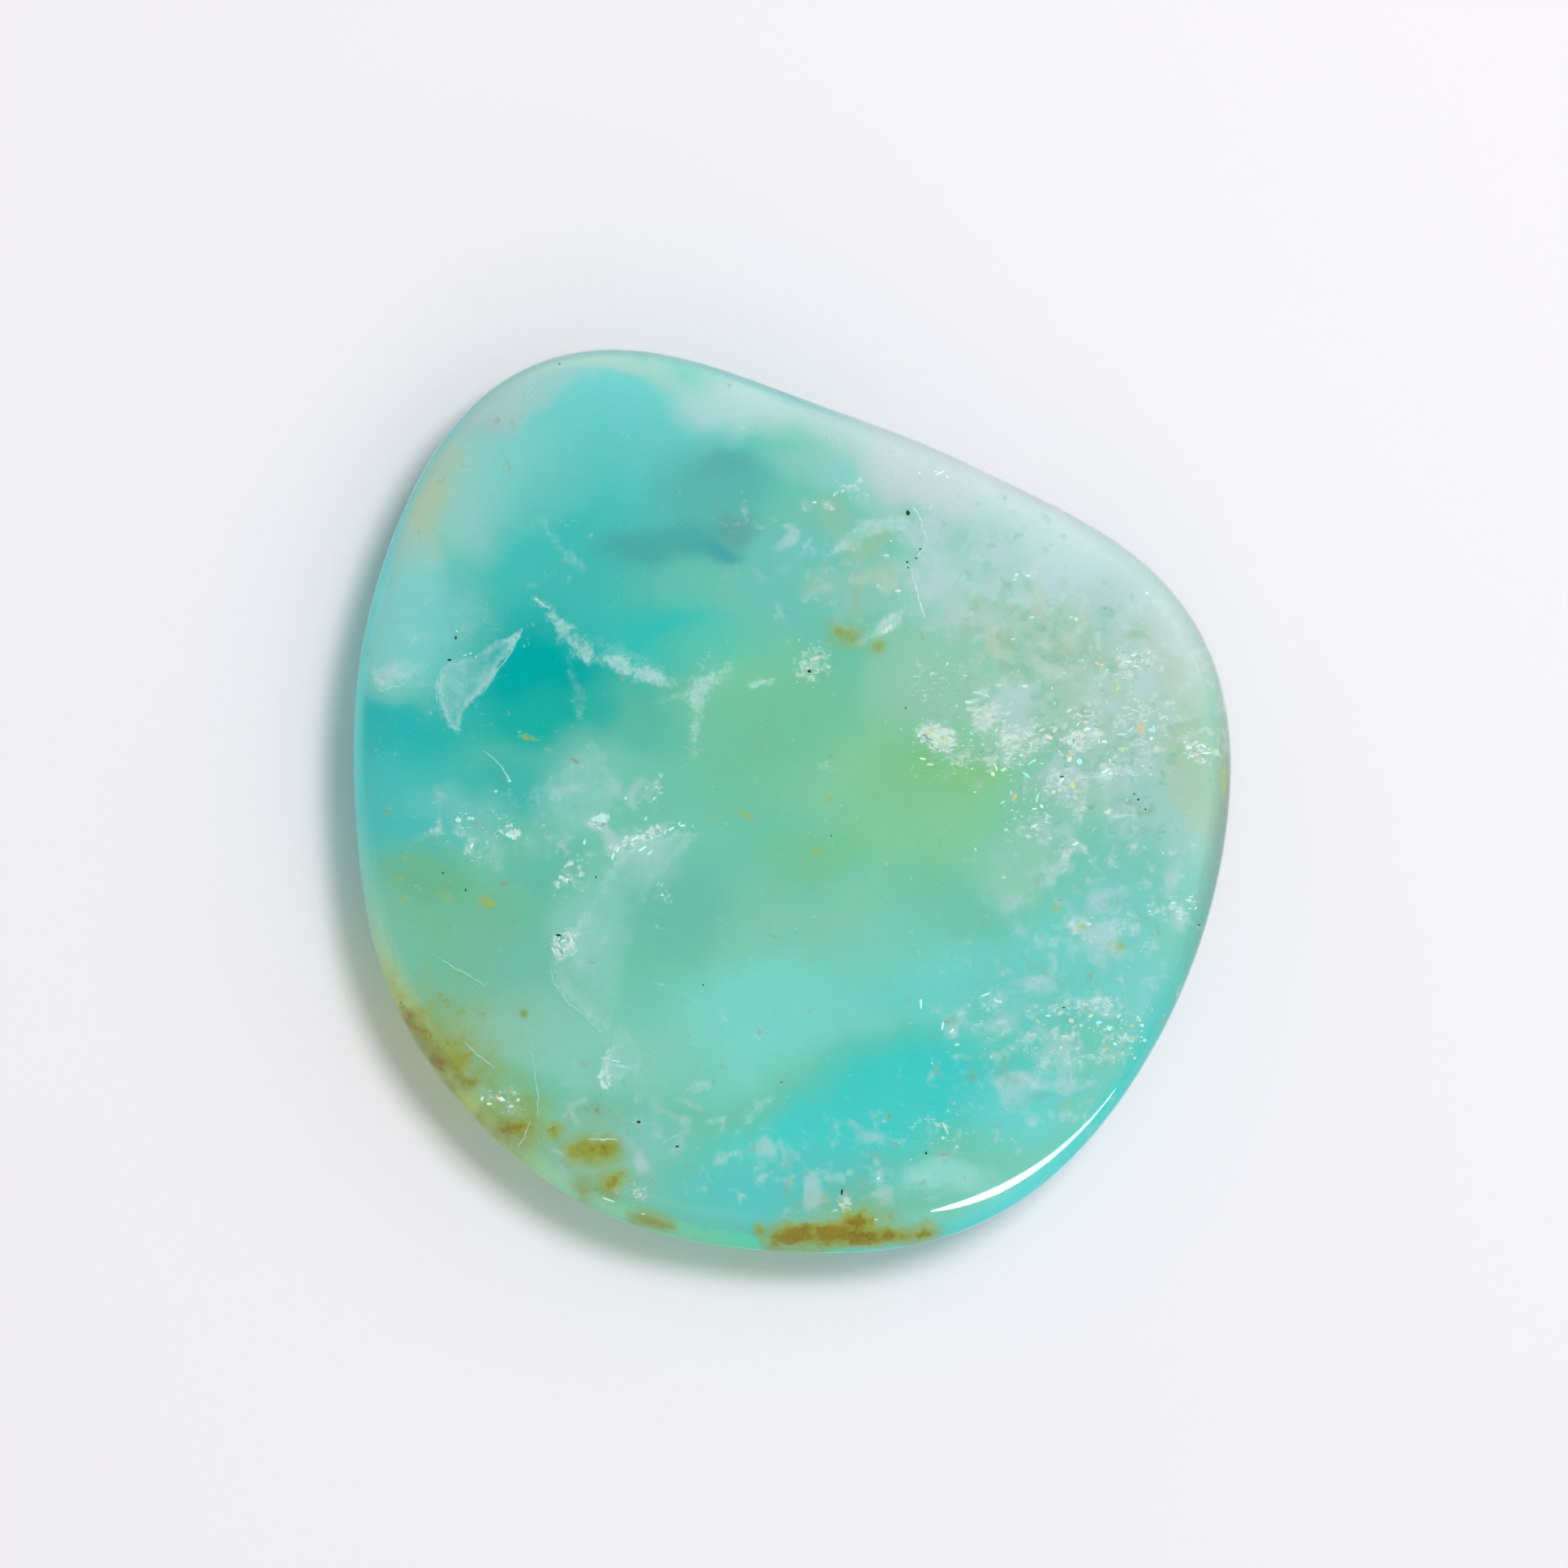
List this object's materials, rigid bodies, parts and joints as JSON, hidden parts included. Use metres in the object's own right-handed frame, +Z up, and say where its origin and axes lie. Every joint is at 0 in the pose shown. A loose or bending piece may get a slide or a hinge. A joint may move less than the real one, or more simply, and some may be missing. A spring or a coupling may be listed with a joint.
{
  "type": "polished opal cabochon",
  "caption": "Freeform polished opal cabochon: flat back, rolled shoulder and low dome, translucent blue-green with white veils, a sparkling patch and ochre stains at the rim.",
  "frame": {"origin": "middle of the stone's footprint box, on the surface it lies on", "axes": "+Z up through the dome, +X to the right and +Y to the far side as the picture looks down on the stone; Y is the longest extent"},
  "size_m": [0.0346, 0.0356, 0.0054],
  "materials": {
    "opal": "polished, milky and translucent"
  },
  "bodies": {
    "root": {"opal_cabochon": "opal"}
  },
  "joints": []
}
